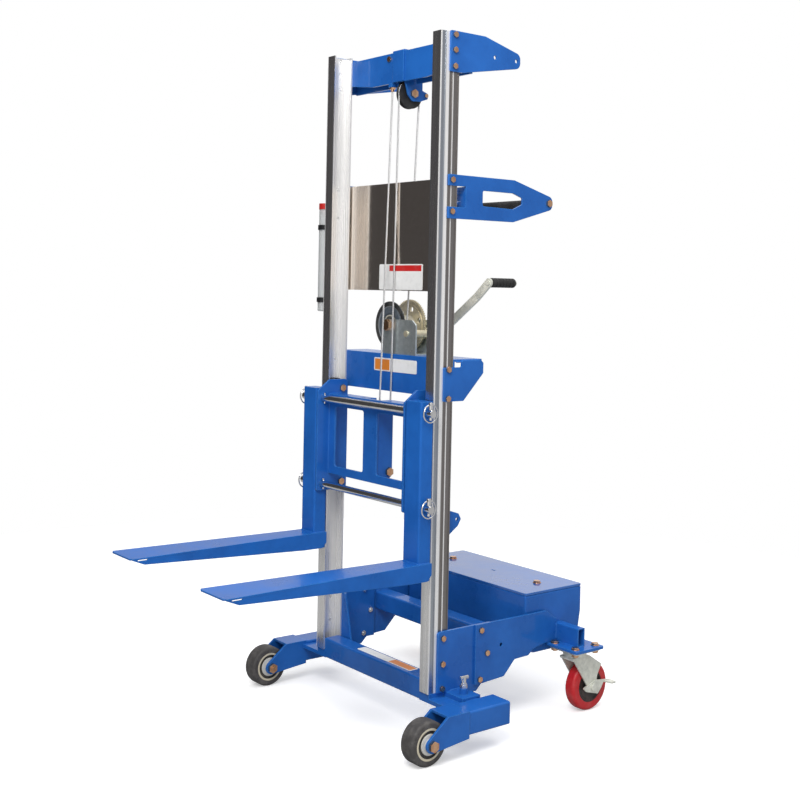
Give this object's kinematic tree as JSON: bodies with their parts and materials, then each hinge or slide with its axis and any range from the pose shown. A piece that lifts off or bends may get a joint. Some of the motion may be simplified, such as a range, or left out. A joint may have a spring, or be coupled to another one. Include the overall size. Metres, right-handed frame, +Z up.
{
  "type": "counterweight material lift",
  "caption": "Hand-winched fork lift on a channel mast with a counterweight base: a crank drum and wire rope raise the fork carriage; front wheels and braked casters carry it.",
  "frame": {"origin": "on the floor, under the middle of the bounding box", "axes": "X across the mast to the right, Y from the forks to the rear, Z up"},
  "size_m": [0.7628, 1.1316, 1.702],
  "materials": {
    "blue_paint": "gloss powder coat",
    "aluminium_profile": "drawn, dull",
    "zinc_plate": "zinc plated",
    "yellow_zinc": "yellow passivated",
    "bright_steel": "bright plated",
    "steel_rope": "stranded",
    "black_steel": "satin",
    "black_rubber": "ribbed",
    "polished_sheet": "polished",
    "grey_tyre": "solid rubber",
    "cream_hub": "moulded",
    "red_wheel": "moulded polyurethane",
    "clear_tube": "translucent",
    "red_cap": "moulded",
    "black_sheave": "moulded"
  },
  "bodies": {
    "frame": {"column_left": "aluminium_profile", "column_right": "aluminium_profile", "top_beam": "blue_paint", "top_brackets": "blue_paint", "sheave_clevis": "blue_paint", "back_panel": "polished_sheet", "handle_plates": "blue_paint", "handle_grip": "black_rubber", "winch_support": "blue_paint", "winch_frame": "zinc_plate", "document_tube": "clear_tube", "document_clips": "black_steel", "mast_lug": "blue_paint", "front_crossmember": "blue_paint", "leg_left": "blue_paint", "leg_right": "blue_paint", "mast_bracket_left": "blue_paint", "mast_bracket_right": "blue_paint", "side_plate_left": "blue_paint", "side_plate_right": "blue_paint", "rear_cross_tube": "blue_paint", "counterweight": "blue_paint", "weight_cover": "blue_paint", "caster_beam": "blue_paint", "caster_plates": "zinc_plate", "frame_bolts": "yellow_zinc", "hoist_cable_winch": "steel_rope"},
    "crank": {"pinion_shaft": "zinc_plate", "crank_arm": "zinc_plate"},
    "crank_grip": {"crank_grip": "black_rubber"},
    "drum": {"winch_drum": "black_steel", "drum_gear": "yellow_zinc"},
    "pawl": {"ratchet_pawl": "yellow_zinc"},
    "top_sheave": {"top_sheave": "black_sheave"},
    "carriage": {"carriage_frame": "blue_paint", "carriage_bolts": "yellow_zinc", "fork_bars": "bright_steel", "fork_left": "blue_paint", "fork_right": "blue_paint", "hoist_cable_falls": "steel_rope"},
    "carriage_sheave": {"carriage_sheave": "black_sheave"},
    "upper_rollers": {"upper_rollers": "black_sheave"},
    "lower_rollers": {"lower_rollers": "black_sheave"},
    "document_cap": {"document_cap": "red_cap"},
    "front_wheel_left": {"front_tyre_left": "grey_tyre", "front_hub_left": "cream_hub"},
    "caster_left": {"caster_fork_left": "zinc_plate"},
    "caster_wheel_left": {"caster_wheel_left": "red_wheel"},
    "brake_left": {"brake_pedal_left": "zinc_plate"},
    "plunger_left": {"plunger_left": "bright_steel"},
    "lower_ring_left": {"lower_ring_left": "bright_steel"},
    "upper_ring_left": {"upper_ring_left": "bright_steel"},
    "front_wheel_right": {"front_tyre_right": "grey_tyre", "front_hub_right": "cream_hub"},
    "caster_right": {"caster_fork_right": "zinc_plate"},
    "caster_wheel_right": {"caster_wheel_right": "red_wheel"},
    "brake_right": {"brake_pedal_right": "zinc_plate"},
    "plunger_right": {"plunger_right": "bright_steel"},
    "lower_ring_right": {"lower_ring_right": "bright_steel"},
    "upper_ring_right": {"upper_ring_right": "bright_steel"}
  },
  "joints": [
    {"name": "crank_turn", "type": "hinge", "parent": "frame", "child": "crank", "pos_m": [0.04744, 0.11725, 0.968], "axis": [0, -1, 0], "range_deg": [-6559.8, 13529.59]},
    {"name": "carriage_lift", "type": "slide", "parent": "frame", "child": "carriage", "axis": [0, 0, 1], "range_m": [-0.3205, 0.6605], "deforming": ["hoist_cable_falls"]},
    {"name": "drum_turn", "type": "hinge", "parent": "frame", "child": "drum", "pos_m": [-0.02795, 0.11725, 0.988], "axis": [0, 1, 0], "range_deg": [-1313, 2707]},
    {"name": "top_sheave_turn", "type": "hinge", "parent": "frame", "child": "top_sheave", "pos_m": [0, 0.11025, 1.583], "axis": [1, 0, 0], "range_deg": [-2293, 1113]},
    {"name": "carriage_sheave_turn", "type": "hinge", "parent": "carriage", "child": "carriage_sheave", "pos_m": [0, 0.04875, 0.617], "axis": [1, 0, 0], "range_deg": [-982, 2024]},
    {"name": "upper_roller_turn", "type": "hinge", "parent": "carriage", "child": "upper_rollers", "pos_m": [0, 0.04625, 0.815], "axis": [1, 0, 0], "range_deg": [-745, 1536]},
    {"name": "lower_roller_turn", "type": "hinge", "parent": "carriage", "child": "lower_rollers", "pos_m": [0, 0.04625, 0.565], "axis": [1, 0, 0], "range_deg": [-1536, 745]},
    {"name": "crank_grip_spin", "type": "hinge", "parent": "crank", "child": "crank_grip", "pos_m": [0.20531, 0.24725, 1.10189], "axis": [0, 1, 0], "continuous": true},
    {"name": "pawl_lift", "type": "hinge", "parent": "frame", "child": "pawl", "pos_m": [0.07544, 0.01725, 0.946], "axis": [0, 1, 0], "range_deg": [0, 25], "stiffness_Nm_per_rad": 0.05, "springref_deg": -17.19},
    {"name": "document_cap_lift", "type": "slide", "parent": "frame", "child": "document_cap", "axis": [0, 0, 1], "range_m": [0, 0.05]},
    {"name": "front_wheel_left_roll", "type": "hinge", "parent": "frame", "child": "front_wheel_left", "pos_m": [-0.3395, -0.07875, 0.052], "axis": [1, 0, 0], "continuous": true},
    {"name": "caster_left_swivel", "type": "hinge", "parent": "frame", "child": "caster_left", "pos_m": [-0.2955, 0.45825, 0.15], "axis": [0, 0, 1], "continuous": true},
    {"name": "caster_wheel_left_roll", "type": "hinge", "parent": "caster_left", "child": "caster_wheel_left", "pos_m": [-0.2955, 0.50225, 0.0635], "axis": [1, 0, 0], "continuous": true},
    {"name": "brake_left_press", "type": "hinge", "parent": "caster_left", "child": "brake_left", "pos_m": [-0.2955, 0.50225, 0.0635], "axis": [-1, 0, 0], "range_deg": [0, 12]},
    {"name": "plunger_left_pull", "type": "slide", "parent": "frame", "child": "plunger_left", "axis": [0, 0, 1], "range_m": [0, 0.012], "stiffness_N_per_m": 900, "springref_m": -0.008},
    {"name": "lower_ring_left_fold", "type": "hinge", "parent": "carriage", "child": "lower_ring_left", "pos_m": [-0.261, -0.01275, 0.584], "axis": [0, 1, 0], "range_deg": [0, 150]},
    {"name": "upper_ring_left_fold", "type": "hinge", "parent": "carriage", "child": "upper_ring_left", "pos_m": [-0.261, -0.01275, 0.81], "axis": [0, 1, 0], "range_deg": [0, 150]},
    {"name": "front_wheel_right_roll", "type": "hinge", "parent": "frame", "child": "front_wheel_right", "pos_m": [0.3395, -0.07875, 0.052], "axis": [1, 0, 0], "continuous": true},
    {"name": "caster_right_swivel", "type": "hinge", "parent": "frame", "child": "caster_right", "pos_m": [0.2955, 0.45825, 0.15], "axis": [0, 0, 1], "continuous": true},
    {"name": "caster_wheel_right_roll", "type": "hinge", "parent": "caster_right", "child": "caster_wheel_right", "pos_m": [0.2955, 0.50225, 0.0635], "axis": [1, 0, 0], "continuous": true},
    {"name": "brake_right_press", "type": "hinge", "parent": "caster_right", "child": "brake_right", "pos_m": [0.2955, 0.50225, 0.0635], "axis": [-1, 0, 0], "range_deg": [0, 12]},
    {"name": "plunger_right_pull", "type": "slide", "parent": "frame", "child": "plunger_right", "axis": [0, 0, 1], "range_m": [0, 0.012], "stiffness_N_per_m": 900, "springref_m": -0.008},
    {"name": "lower_ring_right_fold", "type": "hinge", "parent": "carriage", "child": "lower_ring_right", "pos_m": [0.261, -0.01275, 0.584], "axis": [0, -1, 0], "range_deg": [0, 150]},
    {"name": "upper_ring_right_fold", "type": "hinge", "parent": "carriage", "child": "upper_ring_right", "pos_m": [0.261, -0.01275, 0.81], "axis": [0, -1, 0], "range_deg": [0, 150]}
  ],
  "couplings": [
    {"joint": "carriage_lift", "follows": "crank_turn", "m_per_rad": 0.002795},
    {"joint": "drum_turn", "follows": "crank_turn", "ratio": 0.2},
    {"joint": "top_sheave_turn", "follows": "crank_turn", "ratio": -0.16939},
    {"joint": "carriage_sheave_turn", "follows": "crank_turn", "ratio": 0.14947},
    {"joint": "upper_roller_turn", "follows": "crank_turn", "ratio": 0.11339},
    {"joint": "lower_roller_turn", "follows": "crank_turn", "ratio": -0.11339}
  ]
}
